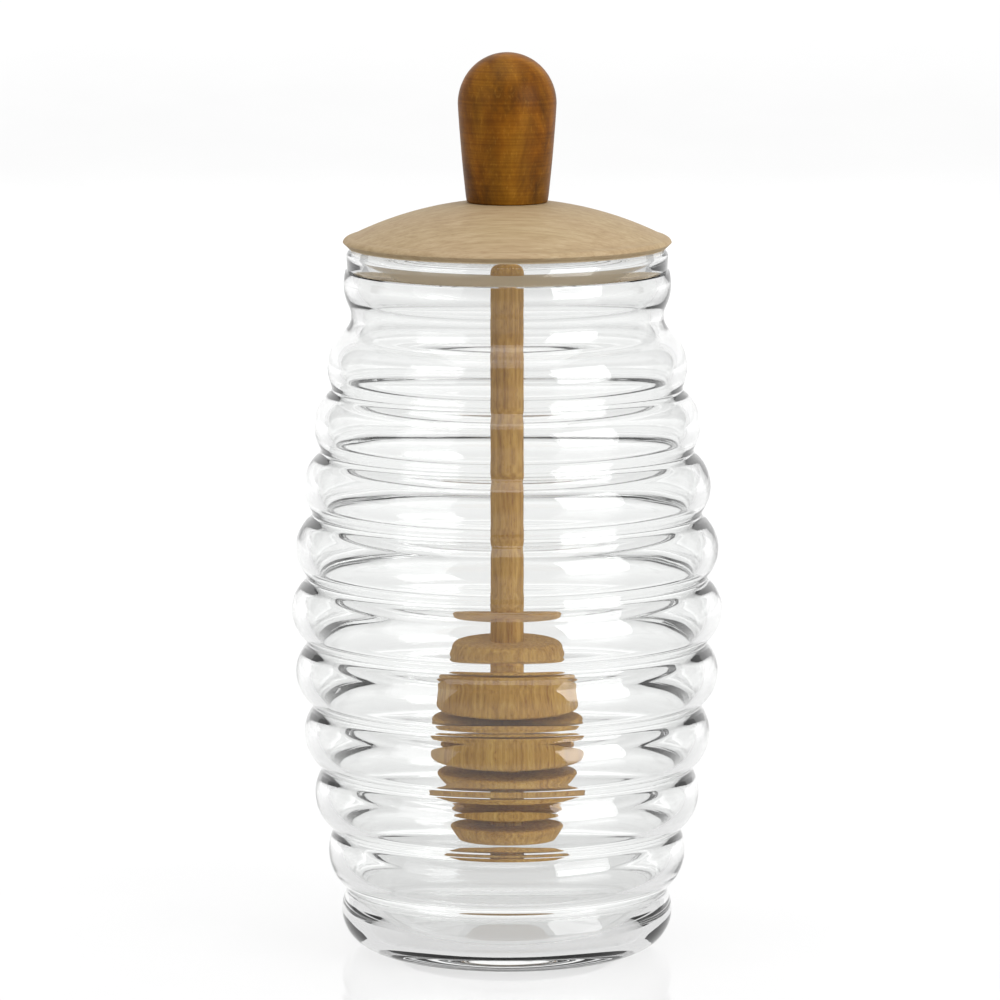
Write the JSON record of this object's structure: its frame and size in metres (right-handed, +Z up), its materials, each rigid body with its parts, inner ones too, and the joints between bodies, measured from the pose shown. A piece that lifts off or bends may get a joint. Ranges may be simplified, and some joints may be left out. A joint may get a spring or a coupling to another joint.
{
  "type": "glass honey pot",
  "caption": "Beehive-shaped clear glass honey jar of stacked rings, with a domed wooden lid, a turned knob and a wooden honey dipper hanging from the lid.",
  "frame": {"origin": "centre of the jar's base, on the surface that it stands on", "axes": "+Z up along the jar's turning axis; the jar, lid, knob and dipper are round about it"},
  "size_m": [0.08, 0.08, 0.1671],
  "materials": {
    "clear_glass": "clear, smooth, colourless",
    "pale_wood": "bare pale wood, fine grain, satin",
    "dark_wood": "oiled mottled brown wood, satin sheen",
    "dipper_wood": "bare light brown wood, turned"
  },
  "bodies": {
    "root": {"jar": "clear_glass", "lid": "pale_wood", "knob": "dark_wood", "dipper": "dipper_wood"}
  },
  "joints": []
}
